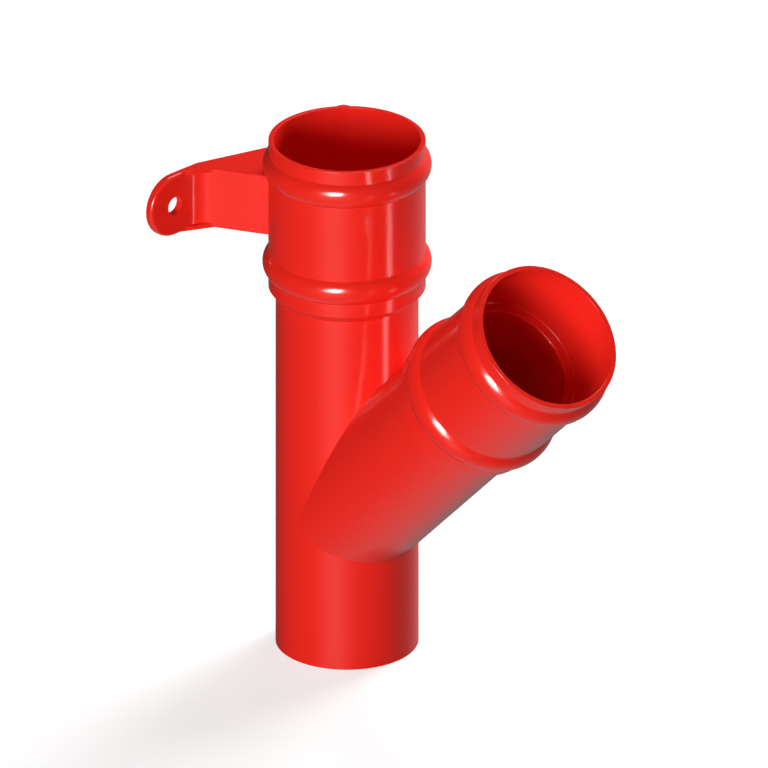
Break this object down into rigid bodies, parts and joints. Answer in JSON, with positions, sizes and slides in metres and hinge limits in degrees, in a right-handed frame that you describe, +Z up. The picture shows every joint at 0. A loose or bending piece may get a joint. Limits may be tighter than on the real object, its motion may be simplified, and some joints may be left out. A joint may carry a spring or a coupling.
{
  "type": "downpipe branch",
  "caption": "Cast rainwater downpipe branch: round pipe with an arm at 45 degrees, beaded push-fit sockets on both upper ends, a plain spigot below and stand-off wall ears.",
  "frame": {"origin": "centre of the spigot's lower end, on the axis of the main pipe", "axes": "+Z up along the main pipe, -Y towards the arm, +Y towards the wall that the ears are screwed to, +X along the wall"},
  "size_m": [0.1568, 0.2565, 0.2936],
  "materials": {
    "powder_coat_red": "gloss red polyester powder coat on a sand-cast aluminium body"
  },
  "bodies": {
    "root": {"branch_casting": "powder_coat_red"}
  },
  "joints": []
}
